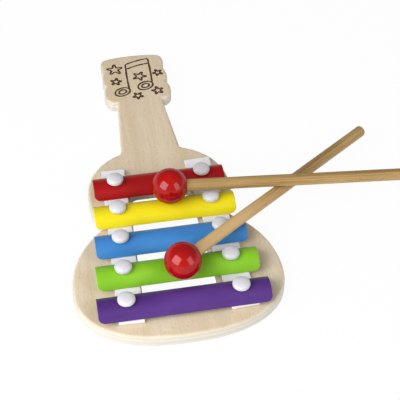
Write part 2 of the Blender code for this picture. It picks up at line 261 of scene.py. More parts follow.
def make_birch():
    """Sanded birch plywood under a thin matt varnish: pale, fine-fibred, with a barely layered edge."""
    material, tree, shader = start_material("sanded_birch_plywood", IOR=1.5)
    place = add(tree, "TexCoord").outputs["Object"]
    bands = pattern(tree, "TexNoise", place, (11, 190, 40), Detail=3.0, Distortion=0.6)
    fibres = pattern(tree, "TexNoise", place, (0.7, 16, 0.7), Detail=4.0, Roughness=0.65)
    flecks = pattern(tree, "TexNoise", place, (0.45, 2.6, 0.45), Detail=1.0)
    face = tinted(tree, "#E4D5BD", "#D7C3A5", bands, 0.3, 0.7)
    face = tinted(tree, face, "#CDB692", fibres, 0.35, 0.75, most=0.55)
    face = tinted(tree, face, "#AE9470", flecks, 0.6, 0.74, most=0.45)
    height = add(tree, "SeparateXYZ", Vector=place).outputs["Z"]
    plies = add(tree, "Math", {"operation": "PINGPONG"}, _0=height, _1=ply_thickness_mm * mm)
    edge = tinted(tree, "#CFCABC", "#D8D3C8", plies, ply_change_mm[0] * mm, ply_change_mm[1] * mm)
    upright = add(tree, "SeparateXYZ", Vector=add(tree, "NewGeometry").outputs["True Normal"]).outputs["Z"]
    upright = add(tree, "Math", {"operation": "ABSOLUTE"}, _0=upright)
    wood = tinted(tree, face, edge, upright, 0.9, 0.3)
    rough = add(tree, "MapRange", Value=fibres, To_Min=0.5, To_Max=0.66)
    relief = add(tree, "Bump", Height=fibres, Strength=0.35, Distance=0.06 * mm)
    feed(tree, shader, Base_Color=wood, Roughness=rough, Normal=relief)
    return material


birch = make_birch()
print(birch.name, "has", len(birch.node_tree.nodes), "nodes")

# %% [markdown]
# ## The board
#
# One sawn board carries everything. Its outline reads like a guitar's: a broad super-ellipse
# for the tail, two flanks that meet in the waist, a shoulder, a straight neck and a head whose
# side swells in three lobes. Each stretch is a formula, and the right half is mirrored to give
# the left one.
#
# The plate itself is that outline carried round its rim: a quarter circle at the top and the
# bottom, upright in between. A Bevel modifier on an extruded outline would do the same, but it
# leaves uneven faces where the outline turns sharply.

# %% Sizes of the outline
lower_bout_from_tail = 0.0402
tail_power = 2.35
waist_from_tail = 0.0858
waist_depth = 0.0054
upper_bout_half_width = 0.0428
upper_bout_from_tail = 0.1112
shoulder_height = 0.0396
shoulder_power = 2.2
neck_foot_half_width = 0.0184
neck_foot_blend = 0.0022
neck_top_half_width = 0.0146
head_length = 0.0483
head_half_width = 0.0218
neck_top_y = tail_y + board_length - head_length
print(f"the neck ends {(neck_top_y - tail_y) * 1000:.1f} mm from the tail")

# %% Tail and waist
arc_steps = 40


def lower_half():
    """Tail and both flanks of the waist: x = w sin(t)^(2/n), then ellipses x = w cos(t)."""
    t = np.linspace(0.0, math.pi / 2, arc_steps, endpoint=False)
    tail_x = lower_bout_half_width * np.sin(t) ** (2 / tail_power)
    tail = np.stack([tail_x, tail_y + lower_bout_from_tail * (1 - np.cos(t) ** (2 / tail_power))], axis=1)
    waist_x = upper_bout_half_width - waist_depth
    low_end, high_end = (math.acos(waist_x / w) for w in (lower_bout_half_width, upper_bout_half_width))
    t = np.linspace(0.0, low_end, arc_steps, endpoint=False)
    low_rise = (waist_from_tail - lower_bout_from_tail) * np.sin(t) / math.sin(low_end)
    low = np.stack([lower_bout_half_width * np.cos(t), tail_y + lower_bout_from_tail + low_rise], axis=1)
    t = np.linspace(high_end, 0.0, arc_steps // 2, endpoint=False)
    high_drop = (upper_bout_from_tail - waist_from_tail) * np.sin(t) / math.sin(high_end)
    high = np.stack([upper_bout_half_width * np.cos(t), tail_y + upper_bout_from_tail - high_drop], axis=1)
    return np.vstack([tail, low, high])


print("tail and waist:", len(lower_half()), "points on each side")

# %% Shoulder, neck and head
spline_steps = 10
cheek_shares = ((0.845, 0.027), (0.964, 0.093), (1.0, 0.197), (0.982, 0.29), (0.927, 0.358))
temple_shares = ((0.927, 0.358), (0.968, 0.42), (0.982, 0.518), (0.964, 0.596), (0.927, 0.646))
brow_shares = ((0.927, 0.646), (0.95, 0.729), (0.964, 0.836))
crown_shares = ((0.918, 0.921), (0.764, 0.967), (0.41, 0.99), (0.0, 1.0))


def smooth_through(points, steps):
    """Catmull-Rom curve: (2b + (c-a)t + (2a-5b+4c-d)t^2 + (3b-a-3c+d)t^3) / 2 between b and c."""
    p = np.array(points)
    p = np.vstack([2 * p[0] - p[1], p, 2 * p[-1] - p[-2]])
    a, b, c, d = (p[k : len(p) - 3 + k, None] for k in range(4))
    t = np.linspace(0.0, 1.0, steps, endpoint=False)[None, :, None]
    curve = 2 * b + (c - a) * t + (2 * a - 5 * b + 4 * c - d) * t**2 + (3 * b - a - 3 * c + d) * t**3
    return curve.reshape(-1, p.shape[1]) / 2


def shoulder_y(x):
    """Super-ellipse: y = h (1 - (x/w)^n)^(1/n) above the upper bout's widest place."""
    share = (x / upper_bout_half_width) ** shoulder_power
    return tail_y + upper_bout_from_tail + shoulder_height * (1 - share) ** (1 / shoulder_power)


def upper_half():
    """Shoulder, the round at the foot of the neck, the neck and the head's lobes."""
    blend_x = neck_foot_half_width + neck_foot_blend
    end = math.acos((blend_x / upper_bout_half_width) ** (shoulder_power / 2))
    t = np.linspace(0.0, end, arc_steps, endpoint=False)
    x = upper_bout_half_width * np.cos(t) ** (2 / shoulder_power)
    start = np.array([blend_x, shoulder_y(blend_x)])
    corner = np.array([neck_foot_half_width, shoulder_y(neck_foot_half_width)])
    top = np.array([neck_top_half_width, neck_top_y])
    stop = corner + (top - corner) * neck_foot_blend / (top - corner)[1]
    t = np.linspace(0.0, 1.0, spline_steps + 1)[:, None]
    blend = (1 - t) ** 2 * start + 2 * t * (1 - t) * corner + t**2 * stop
    size = np.array([head_half_width, head_length])
    foot = np.array([0.0, neck_top_y])
    lobes = [foot + size * np.array(s) for s in (cheek_shares, temple_shares, brow_shares + crown_shares)]
    lobes[0] = np.vstack([top, lobes[0]])
    lobes = [smooth_through(lobe, spline_steps) for lobe in lobes] + [lobes[-1][-1:]]
    return np.vstack([np.stack([x, shoulder_y(x)], axis=1), blend, *lobes])


right_half = np.vstack([lower_half(), upper_half()])
board_outline = np.vstack([right_half, right_half[1:-1][::-1] * (-1, 1)])
print(len(board_outline), "points round the board")

# %% Opening below the bars
opening_head_y = tail_y + 0.1124
opening_tail_y = tail_y + 0.0212
opening_head_half_width = 0.0185
opening_tail_half_width = 0.0219
opening_corner_radius = 0.006


def rounded(corner_points, radius):
    """Round at each corner: m - r (b cos t - a sin t), with b on the bisector, a across it towards the next
    corner, and the middle m lying r / sin(half angle) from the corner."""
    corner = np.array(corner_points)
    back, ahead = (np.roll(corner, shift, axis=0) - corner for shift in (1, -1))
    back, ahead = (way / np.linalg.norm(way, axis=1)[:, None] for way in (back, ahead))
    half = np.arccos((back * ahead).sum(axis=1))[:, None] / 2
    bisector = (back + ahead) / (2 * np.cos(half))
    across = (ahead - back) / (2 * np.sin(half))
    middle = corner + bisector * radius / np.sin(half)
    t = (np.linspace(-1.0, 1.0, spline_steps)[None, :] * (math.pi / 2 - half))[:, :, None]
    arcs = middle[:, None] - radius * (np.cos(t) * bisector[:, None] - np.sin(t) * across[:, None])
    return arcs.reshape(-1, 2)


opening_corners = [(side * opening_head_half_width, opening_head_y) for side in (-1, 1)]
opening_corners += [(side * opening_tail_half_width, opening_tail_y) for side in (1, -1)]
opening_outline = rounded(opening_corners, opening_corner_radius)
print(len(opening_outline), "points round the opening")

# %% Holes for the nails
nail_hole_radius = 0.0012
contact_gap = 0.0003
hole_steps = 24


def around(steps):
    """Angles once round, and (cos a, sin a) for each."""
    a = np.linspace(0.0, math.tau, steps, endpoint=False)
    return a, np.stack([np.cos(a), np.sin(a)], axis=1)


nail_boxes = {name: [corners(f"{name}_bar_{side}_nail") for side in sides] for name in bar_names}
nail_places = np.array([(low + high)[:2] / 2 for pair in nail_boxes.values() for low, high in pair])
nail_holes = [place + nail_hole_radius * around(hole_steps)[1] for place in nail_places]
nail_tip_z = corners("red_bar_left_nail")[0][2]
print(len(nail_places), "nails, the first at", (nail_places[0] * 1000).round(1), "mm")

# %% [markdown]
# A plate is the same for the board and for the foam strips: walls carried round outlines, and
# two flat faces between them. A flat face with holes isn't a grid, so it is triangulated
# between its outlines, and only the triangles that an odd number of outlines surround are
# kept. A narrow flat band just inside each rim keeps the smooth shading of the round from
# spreading over the flat face.

# %% Walls of a plate
rim_steps = 6
rim_band = 0.0002


def moved_in(outline, distances):
    """Copies of an outline, each moved to its left by a distance along mitred normals."""
    step = np.roll(outline, -1, axis=0) - outline
    normal = np.stack([-step[:, 1], step[:, 0]], axis=1) / np.linalg.norm(step, axis=1)[:, None]
    before = np.roll(normal, 1, axis=0)
    mitre = (normal + before) / (1 + (normal * before).sum(axis=1))[:, None]
    return outline[None] + np.asarray(distances)[:, None, None] * mitre[None]


def lifted(rings, heights):
    """Rings of flat points set at their heights, with the faces between each ring and the next."""
    z = np.broadcast_to(np.asarray(heights)[:, None, None], (*rings.shape[:2], 1))
    return np.concatenate([rings, z], axis=2).reshape(-1, 3), grid_faces(*rings.shape[:2])


def rounded_edge(radius, thickness):
    """How far an edge is moved in, r(1 - sin t), at depths r(1 - cos t) below either face."""
    t = np.linspace(0.0, math.pi / 2, rim_steps)
    inset = np.concatenate([[radius + rim_band], radius * (1 - np.sin(t))])
    depth = np.concatenate([[0.0], radius * (1 - np.cos(t))])
    return np.concatenate([inset, inset[::-1]]), np.concatenate([depth, thickness - depth[::-1]])


def rim(outline, low_z, high_z, radius):
    """Wall of a plate: its outline carried round the rounded edge."""
    inset, height = rounded_edge(radius, high_z - low_z)
    return lifted(moved_in(outline, inset), low_z + height)


def blind_hole(outline, floor_z, mouth_z):
    """A hole's wall, and a floor that shrinks to its middle."""
    middle = np.broadcast_to(outline.mean(axis=0), outline.shape)
    return lifted(np.stack([middle, outline, outline]), (floor_z, floor_z, mouth_z))


print("a blind hole has", len(blind_hole(nail_holes[0], 0.0, board_high[2])[1]), "faces")

# %% Flat faces and whole plates
square = np.array([(-1.0, -1.0), (1.0, -1.0), (1.0, 1.0), (-1.0, 1.0)])


def flat_face(outlines, height):
    """Triangles between outlines, kept where a line to the right crosses them an odd number of times."""
    points = np.concatenate(outlines)
    counts = [len(outline) for outline in outlines]
    first = np.repeat(np.cumsum([0] + counts[:-1]), counts)
    here = np.arange(len(points))
    after = first + (here - first + 1) % np.repeat(counts, counts)
    edges = np.stack([here, after], axis=1)
    flat, _, triangles, *_ = delaunay_2d_cdt(points.tolist(), edges.tolist(), [], 0, merge_distance)
    flat, triangles = np.array(flat), np.array(triangles)
    x, y = flat[triangles].mean(axis=1).T[:, :, None]
    (ax, ay), (bx, by) = points[here].T, points[after].T
    level = (ay > y) != (by > y)
    cross_x = ax + (y - ay) * (bx - ax) / np.where(level, by - ay, 1.0)
    inside = (level & (cross_x > x)).sum(axis=1) % 2 == 1
    return np.column_stack([flat, np.full(len(flat), height)]), triangles[inside]


def plate(outlines, low_z, high_z, radius, through=(), blind=(), blind_floor_z=0.0):
    """Rounded walls round the outlines, plain walls round the holes, and both flat faces."""
    parts = [rim(outline, low_z, high_z, radius) for outline in outlines]
    parts += [lifted(np.stack([hole, hole]), (low_z, high_z)) for hole in through]
    parts += [blind_hole(hole, blind_floor_z, high_z) for hole in blind]
    edges = [moved_in(outline, [radius + rim_band])[0] for outline in outlines]
    parts += [flat_face([*edges, *through], low_z), flat_face([*edges, *through, *blind], high_z)]
    return joined(*parts)


print("a ring round a square:", len(flat_face([square, square / 2], 0.0)[1]), "triangles")

# %% The board
board_edge_radius = 0.0017
board_top = board_high[2]
holes = dict(blind=nail_holes, blind_floor_z=nail_tip_z - contact_gap)
outlines = [board_outline, opening_outline]
board_surface = plate(outlines, board_low[2], board_top, board_edge_radius, **holes)
board = make_piece("board_surface", board_surface, birch, "board_assembly", "birch_plywood", "board")
print("board:", len(board.data.polygons), "faces")

# %% [markdown]
# ## Burnt drawing on the head
#
# The toy has a drawing burnt into its head with a hot pen: dark brown lines about a millimetre
# wide. Here it is two beamed notes among small stars, drawn in that manner. A burnt line is
# slightly glazed and very slightly raised where the wood has swollen, so each line is a flat
# ellipse carried along a path, its ends rounded. Its colour could be a mask in the board's
# material instead, but lines that are geometry stay crisp from any distance.

# %% Stroke of the pen
pen_width = 0.00125
pen_lift = 0.00006
pen_sides = 10
pen_end_power = 24
pen_pressure_change = 0.12


def stroke(path, closed=False):
    """Flat ellipse p(t) + w(t) cos(a) n(t), h sin(a) high, with n square to the path and w shrinking to
    nothing at an open path's ends."""
    u = np.linspace(-1.0, 1.0, len(path))
    if closed:
        step = np.roll(path, -1, axis=0) - np.roll(path, 1, axis=0)
        share = np.ones(len(path))
    else:
        step = np.gradient(path, axis=0)
        share = np.sqrt(1 - np.abs(np.sin(u * math.pi / 2)) ** pen_end_power)
    normal = np.stack([-step[:, 1], step[:, 0]], axis=1) / np.linalg.norm(step, axis=1)[:, None]
    share = share * (1 + pen_pressure_change * np.sin(3 * math.pi * u))
    across, up = around(pen_sides)[1].T
    flat = path[:, None] + (pen_width / 2 * share[:, None] * across)[:, :, None] * normal[:, None]
    height = board_top + pen_lift * share[:, None] * up
    points = np.concatenate([flat, height[:, :, None]], axis=2)
    return points.reshape(-1, 3), grid_faces(len(path), pen_sides, rows_closed=closed)


print(f"the pen's lines are {pen_width * 1000:.2f} mm wide")

# %% Lines, stars and note heads
pen_steps = 60


def line(start, stop, bow):
    """A drawn line from start to stop, bowed sideways by sin(pi t), its steps closer at both ends."""
    t = (1 - np.cos(np.linspace(0.0, math.pi, pen_steps)))[:, None] / 2
    side = np.array([start[1] - stop[1], stop[0] - start[0]]) / np.linalg.norm(stop - start)
    return start + (stop - start) * t + bow * np.sin(math.pi * t) * side


def star(centre, size, turn):
    """Five-pointed star with soft tips: r = s (0.66 + 0.26 cos 5a + 0.08 cos 10a)."""
    a, ring = around(2 * pen_steps)
    r = size * (0.66 + 0.26 * np.cos(5 * (a - turn)) + 0.08 * np.cos(10 * (a - turn)))
    return centre + r[:, None] * ring


def note_head(centre, length, width, tilt):
    """An ellipse tilted like a written note."""
    x, y = (around(pen_steps)[1] * (length / 2, width / 2)).T
    c, s = math.cos(tilt), math.sin(tilt)
    return centre + np.stack([c * x - s * y, s * x + c * y], axis=1)


print("a star is a path of", len(star((0.0, 0.0), pen_width, 0.0)), "points")

# %% Notes and stars
drawing_height_share = 0.52
drawing_middle = np.array([0.0, neck_top_y + drawing_height_share * head_length])
note_length = 0.0104
note_width = 0.0076
note_tilt = math.radians(24.0)
notes = drawing_middle + np.array([(-0.0098, -0.0145), (0.0058, -0.0105)])
stem_feet = notes + (0.0047, 0.0018)
stem_tops = stem_feet + (0.0006, 0.0262)
stem_bows = (0.0003, -0.0003)
beam_drops = (0.0, 0.005)
beam_bow = 0.0007
stars = (
    (-0.0122, 0.0092, 0.0052, 0.3),
    (0.0032, -0.0003, 0.0044, 1.1),
    (0.0156, 0.0015, 0.0033, 0.7),
    (-0.0128, -0.0035, 0.0036, 0.1),
    (0.013, -0.0168, 0.0038, 0.5),
    (-0.0004, -0.02, 0.0034, 0.9),
)
open_lines = [line(*stem) for stem in zip(stem_feet, stem_tops, stem_bows)]
open_lines += [line(*(stem_tops - (0.0, drop)), beam_bow) for drop in beam_drops]
note_rings = [(note, note_length / part, note_width / part) for note in notes for part in (1, 2)]
closed_lines = [note_head(*ring, note_tilt) for ring in note_rings]
closed_lines += [star(drawing_middle + (x, y), size, turn) for x, y, size, turn in stars]
strokes = [stroke(path) for path in open_lines] + [stroke(path, closed=True) for path in closed_lines]
print(len(strokes), "burnt lines")

# %% Burnt wood
multiply = {"operation": "MULTIPLY"}


def make_burnt_wood():
    """Charred birch: dark brown, paler where the pen moved faster, with a faint glaze."""
    material, tree, shader = start_material("burnt_birch_line", IOR=1.5)
    place = add(tree, "TexCoord").outputs["Object"]
    speed = pattern(tree, "TexNoise", place, 2.5, Detail=2.0)
    fibre = pattern(tree, "TexNoise", place, (0.3, 3, 0.3), Detail=2.0)
    both = add(tree, "Math", multiply, _0=speed, _1=fibre)
    char = tinted(tree, "#3A2712", "#5E4323", both, 0.15, 0.4)
    rough = add(tree, "MapRange", Value=fibre, To_Min=0.45, To_Max=0.7)
    feed(tree, shader, Base_Color=char, Roughness=rough)
    return material


drawing = make_piece("head_drawing", joined(*strokes), make_burnt_wood(), "board_assembly", "birch_plywood")
print("drawing:", len(drawing.data.polygons), "faces")

# %% [markdown]
# ## Foam strips
#
# The bars must not touch the wood, or they would click instead of ring, so two strips of white
# closed-cell foam lie under their ends. Such a strip is cut from sheet with a knife: its edges
# are crisp and only slightly crushed. It is a plate like the board, with a hole for each nail.
# The skin of the foam is pitted with cells far finer than a pixel. Those cells are drawn half
# a millimetre wide, about twice their real size, so that they show at all.

# %% Foam
foam_cell_mm = 0.5


def make_foam():
    """Closed-cell foam sheet: dead matt, faintly grey-white, pitted."""
    material, tree, shader = start_material("closed_cell_foam", IOR=1.45, Roughness=0.9)
    place = add(tree, "TexCoord").outputs["Object"]
    cells = pattern(tree, "TexVoronoi", place, foam_cell_mm, {"feature": "SMOOTH_F1"})
    grime = pattern(tree, "TexNoise", place, 9, Detail=3.0)
    white = tinted(tree, "#EFEDF0", "#E6E4E7", grime, 0.3, 0.75)
    relief = add(tree, "Bump", Height=cells, Strength=0.5, Distance=0.08 * mm)
    feed(tree, shader, Base_Color=white, Normal=relief)
    return material


foam = make_foam()
print(foam.name, "has", len(foam.node_tree.nodes), "nodes")

# %% Foam strips
foam_edge_radius = 0.0004


def outline_of(node):
    """Outline of a convex solid from above: the hull of its vertices, each place once."""
    flat = np.unique(vertices(node)[:, :2], axis=0)
    return flat[convex_hull_2d(flat.tolist())]


for side_number, side in enumerate(sides):
    node = side + "_foam_strip"
    foam_low, foam_high = corners(node)
    outline = outline_of(node)
    strip = plate([outline], foam_low[2], foam_high[2], foam_edge_radius, through=nail_holes[side_number::2])
    foam_piece = make_piece(node + "_surface", strip, foam, "board_assembly", "white_foam", node)
    print(node, "corners in mm:", (outline * 1000).round(1).tolist())

# %% [markdown]
# ## Tone bars
#
# Each bar is a strip of sheet metal with rounded corners, rolled to an arch and sprayed with
# enamel. It is modelled as it is made: the flat strip first, then its rolled form. Flat, it is
# a grid whose columns run straight across and follow the round corners. Its rim is the same
# boundary moved in and out. Rolling then only replaces the distance across by an angle,
# y = r sin(s/R) and z = r cos(s/R), and every face comes along.

# %% Flat strip
bar_outer_radius = 0.0092
bar_half_angle = math.radians(72.0)
bar_corner_radius = 0.0036
strip_width = 2 * bar_outer_radius * bar_half_angle
corner_steps = 8
across_steps = 48
lengthwise_steps = 24


def strip_columns(length, inset):
    """Flat strip as a grid (x, s): column i stands at x(i) and reaches s(i) either side of the crest."""
    half_x, half_s = length / 2 - inset, strip_width / 2 - inset
    radius = bar_corner_radius - inset
    t = np.linspace(0.0, math.pi / 2, corner_steps)
    end_x, end_s = half_x - radius * (1 - np.cos(t)), half_s - radius * (1 - np.sin(t))
    middle = np.linspace(-end_x[-1], end_x[-1], lengthwise_steps)[1:-1]
    x = np.concatenate([-end_x, middle, end_x[::-1]])
    s = np.concatenate([end_s, np.full(len(middle), half_s), end_s[::-1]])
    across = np.linspace(-1.0, 1.0, across_steps)
    return np.stack([np.broadcast_to(x[:, None], (len(x), across_steps)), s[:, None] * across], axis=2)


def boundary(grid):
    """The points round a grid, once round."""
    return np.concatenate([grid[:-1, 0], grid[-1, :-1], grid[:0:-1, -1], grid[0, :0:-1]])


print(f"each bar is rolled from a strip {strip_width * 1000:.1f} mm wide")

# %% Rolled bar
bar_wall = 0.001
bar_edge_radius = 0.0003


def rolled(flat, depth, axis_y, axis_z):
    """Bends (x, s) points at a depth below the outer face: y = r sin(s/R), z = r cos(s/R)."""
    x, angle = flat[..., 0], flat[..., 1] / bar_outer_radius
    radius = bar_outer_radius - depth
    return np.stack([x, axis_y + radius * np.sin(angle), axis_z + radius * np.cos(angle)], axis=-1)


def bar_surface(length, axis_y, axis_z):
    """Outer face, inner face and the rounded rim between them."""
    inset, depth = rounded_edge(bar_edge_radius, bar_wall)
    grids = [strip_columns(length, i) for i in inset]
    rings = np.stack([rolled(boundary(g), d, axis_y, axis_z) for g, d in zip(grids, depth)])
    faces = grid_faces(*grids[0].shape[:2], columns_closed=False)
    outer = rolled(grids[0], 0.0, axis_y, axis_z).reshape(-1, 3), faces
    inner = rolled(grids[0], bar_wall, axis_y, axis_z).reshape(-1, 3), faces
    return joined(outer, inner, (rings.reshape(-1, 3), grid_faces(*rings.shape[:2])))


print("a bar has", len(bar_surface(0.1, 0.0, 0.0)[1]), "faces before it is drilled")

# %% [markdown]
# The enamel is a stoved paint with a satin gloss. Up close such paint isn't flat: it has a
# faint orange-peel relief about a millimetre across, and its tone drifts slightly with its
# thickness. The nail holes are drilled through the finished strip with an exact Boolean, as
# the factory punches them. They hide under the caps and show from below.

# %% Enamel
enamel_colours = {
    "red": ("#A40A0E", "#94080C"),
    "yellow": ("#E8D718", "#DECB10"),
    "blue": ("#4185C8", "#3778BB"),
    "green": ("#87C32C", "#77B322"),
    "purple": ("#56337F", "#4B2A72"),
}


def make_enamel(name):
    """Stoved enamel on metal: satin, with orange peel and a slight drift of tone."""
    bright, deep = enamel_colours[name]
    gloss = dict(IOR=1.5, Roughness=0.38, Specular_IOR_Level=0.25)
    material, tree, shader = start_material(name + "_stoved_enamel", **gloss)
    place = add(tree, "TexCoord").outputs["Object"]
    drift = pattern(tree, "TexNoise", place, (26, 12, 12), Detail=2.0)
    peel = pattern(tree, "TexNoise", place, 1.2, Detail=1.0)
    paint = tinted(tree, bright, deep, drift, 0.3, 0.7)
    relief = add(tree, "Bump", Height=peel, Strength=0.25, Distance=0.02 * mm)
    feed(tree, shader, Base_Color=paint, Normal=relief)
    return material


print("enamels:", ", ".join(enamel_colours))

# %% Drill
bar_hole_radius = 0.0024


def spun(profile, steps):
    """Surface of revolution: x = r cos a, y = r sin a, z = h, from a profile of (r, h) points."""
    radius, height = np.asarray(profile).T
    return lifted(radius[:, None, None] * around(steps)[1], height)


def drill(piece, places, radius, low_z, high_z):
    """Cuts round holes down through a piece and keeps the result as its mesh."""
    cutters = []
    for place in places:
        points, faces = spun([(0.0, low_z), (radius, low_z), (radius, high_z), (0.0, high_z)], 2 * hole_steps)
        mesh = make_mesh("drill", points + (*place, 0.0), faces)
        cutter = bpy.data.objects.new("drill", mesh)
        bpy.context.scene.collection.objects.link(cutter)
        cut = piece.modifiers.new("hole", "BOOLEAN")
        cut.operation, cut.solver, cut.object = "DIFFERENCE", "EXACT", cutter
        cutters.append(cutter)
    evaluated = piece.evaluated_get(bpy.context.evaluated_depsgraph_get())
    piece.data = bpy.data.meshes.new_from_object(evaluated)
    piece.modifiers.clear()
    for cutter in cutters:
        bpy.data.objects.remove(cutter)


print(f"each bar gets two holes {2 * bar_hole_radius * 1000:.1f} mm across")

# %% Bars
for number, name in enumerate(bar_names):
    node = name + "_bar"
    bar_low, bar_high = corners(node)
    length = bar_high[0] - bar_low[0]
    axis_y, axis_z = (bar_low[1] + bar_high[1]) / 2, bar_high[2] - bar_outer_radius
    surface = bar_surface(length, axis_y, axis_z)
    bar = make_piece(node + "_surface", surface, make_enamel(name), node + "_body", name + "_enamel", node)
    places = nail_places[2 * number : 2 * number + 2]
    drill(bar, places, bar_hole_radius, bar_low[2], bar_high[2] + bar_wall)
    print(f"{name}: {length * 1000:.1f} mm long, {len(bar.data.polygons)} faces")

# %% [markdown]
# ## Caps and nails
#
# A nail at each end of a bar goes through a white plastic cap. The cap is moulded: a low dome
# over a short upright rim, with a hub below that centres the bar and a pocket for the nail's
# head. All of that is one profile, so it is spun round its axis. The nails stay as the solids
# have them and only get their metal.

# %% Profile of a cap
cap_radius = 0.0049
cap_rim_height = 0.0013
cap_edge_round = 0.0004
cap_floor = 0.0005
cap_hub_radius = 0.0019
nail_head_radius = 0.0022
nail_head_thickness = 0.0006
dome_steps = 16


def arc(centre, radius, start, stop, steps):
    """Points (r, h) along an arc: centre + radius (cos a, sin a), with the angles in degrees."""
    a = np.radians(np.linspace(start, stop, steps))
    return centre + radius * np.stack([np.cos(a), np.sin(a)], axis=1)


def cap_profile(hub_length, height):
    """Dome, rounded lower edge, hub, bore and pocket, measured from the cap's underside."""
    dome = arc((0.0, cap_rim_height), (cap_radius, height - cap_rim_height), 90.0, 0.0, dome_steps)
    edge = arc((cap_radius - cap_edge_round, cap_edge_round), cap_edge_round, 0.0, -90.0, rim_steps)
    pocket_radius = nail_head_radius + contact_gap
    pocket_top = cap_floor + nail_head_thickness + 2 * contact_gap
    inside = [
        (cap_hub_radius, 0.0),
        (cap_hub_radius, -hub_length),
        (nail_hole_radius, -hub_length),
        (nail_hole_radius, cap_floor),
        (pocket_radius, cap_floor),
        (pocket_radius, pocket_top),
        (0.0, pocket_top),
    ]
    return np.vstack([dome, edge, inside])


print(f"a cap is {2 * cap_radius * 1000:.1f} mm across, with a hub of {2 * cap_hub_radius * 1000:.1f} mm")

# %% Plastic and steel
def make_cap_plastic():
    """Moulded polyethylene: milky white, soft gloss, with a little light inside it."""
    milk = dict(Subsurface_Weight=0.25, Subsurface_Scale=0.8 * mm, Subsurface_Radius=(1.0, 0.9, 0.8))
    material, tree, shader = start_material("moulded_polyethylene", IOR=1.5, **milk)
    place = add(tree, "TexCoord").outputs["Object"]
    flow = pattern(tree, "TexNoise", place, 5, Detail=2.0)
    grain = pattern(tree, "TexNoise", place, 0.4, Detail=1.0)
    tone = add(tree, "Mix", rgba, Factor=flow, A="#D8D7DA", B="#CCCBD0")
    rough = add(tree, "MapRange", Value=flow, To_Min=0.3, To_Max=0.5)
    relief = add(tree, "Bump", Height=grain, Strength=0.2, Distance=0.03 * mm)
    feed(tree, shader, Base_Color=tone, Roughness=rough, Normal=relief)
    return material


def make_nail_steel():
    """Bright drawn wire: polished steel with faint lengthwise draw marks."""
    material, tree, shader = start_material("bright_drawn_steel", Metallic=1.0)
    place = add(tree, "TexCoord").outputs["Object"]
    marks = pattern(tree, "TexNoise", place, (0.15, 0.15, 6), Detail=2.0)
    tone = add(tree, "Mix", rgba, Factor=marks, A="#C9C8C6", B="#A9A8A8")
    rough = add(tree, "MapRange", Value=marks, To_Min=0.22, To_Max=0.4)
    feed(tree, shader, Base_Color=tone, Roughness=rough)
    return material


cap_plastic, nail_steel = make_cap_plastic(), make_nail_steel()
print(cap_plastic.name, nail_steel.name)

# %% Caps and nails
bar_play = 0.0004
cap_steps = 72
cap_base = corners("red_bar")[1][2] + bar_play + contact_gap
for name in bar_names:
    for side in sides:
        node = f"{name}_bar_{side}_cap"
        cap_low, cap_high = corners(node)
        points, faces = spun(cap_profile(cap_base - cap_low[2], cap_high[2] - cap_base), cap_steps)
        surface = points + (*(cap_low + cap_high)[:2] / 2, cap_base), faces
        cap = make_piece(node + "_surface", surface, cap_plastic, "board_assembly", "white_plastic", node)
        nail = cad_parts[f"{name}_bar_{side}_nail"]
        nail.data.materials.clear()
        nail.data.materials.append(nail_steel)
print("10 caps, each", len(cap.data.polygons), "faces")

# %% [markdown]
# ## Mallets
#
# Each mallet is a turned ball on a round stick. The mallets lie aslant, so their lines are read
# from the solids: a stick's own long direction is the first principal axis of its vertices.
# Ball and stick are spun upright round Z and then turned onto that line. Because the wood's
# grain has to follow the stick, each point also keeps its upright position in an attribute,
# and the materials read that instead of the place in the room.

# %% Where the mallets lie
ball_radius = 0.0104
ball_bore_depth = 0.013


def mallet_line(name):
    """Ball centre, stick direction, where on that line the stick starts and stops, and its radius."""
    stick = vertices(name + "_stick")
    middle = stick.mean(axis=0)
    way = np.linalg.svd(stick - middle, full_matrices=False)[2][0]
    way = way * np.sign(way @ (middle - vertices(name + "_ball").mean(axis=0)))
    along = (stick - middle) @ way
    start = ball_radius - ball_bore_depth + contact_gap
    centre = middle + way * (along.min() - start)
    radius = np.linalg.norm(stick - middle - along[:, None] * way, axis=1).max()
    return centre, way, start, start + along.max() - along.min(), radius


mallet_lines = {name: mallet_line(name) for name in ("lower_mallet", "upper_mallet")}
for name, (centre, way, start, stop, radius) in mallet_lines.items():
    print(name, "ball at", (centre * 1000).round(2), "stick", (way * (stop - start) * 1000).round(1), "mm")

# %% [markdown]
# The balls are turned from hardwood, dipped in red lacquer and polished, so they mirror the
# studio's two lamps. The lacquer is a deep red under a clear coat. Pigment and coat are the same
# resin with no step between them, so only the coat mirrors. The sticks are split bamboo,
# rounded through a die: straw-brown, with long darker bundles of fibre and a slight waviness
# that no turned dowel has. The lower mallet's rod is coloured paler for 7 cm next to its
# ball.

# %% Lacquer
def make_lacquer():
    """Dipped red lacquer, polished: deep colour below a clear glossy coat."""
    paint = dict(IOR=1.48, Roughness=0.4, Specular_IOR_Level=0.0)
    coat = dict(Coat_Weight=0.45, Coat_Roughness=0.06, Coat_IOR=1.7)
    material, tree, shader = start_material("polished_red_lacquer", **paint, **coat)
    place = add(tree, "TexCoord").outputs["Object"]
    dip = pattern(tree, "TexNoise", place, 9, Detail=2.0)
    red = tinted(tree, "#AC0604", "#940404", dip, 0.3, 0.7)
    relief = add(tree, "Bump", Height=dip, Strength=0.15, Distance=0.12 * mm)
    feed(tree, shader, Base_Color=red, Coat_Normal=relief)
    return material


lacquer = make_lacquer()
print(lacquer.name, "has", len(lacquer.node_tree.nodes), "nodes")

# %% Bamboo
fade = 0.02


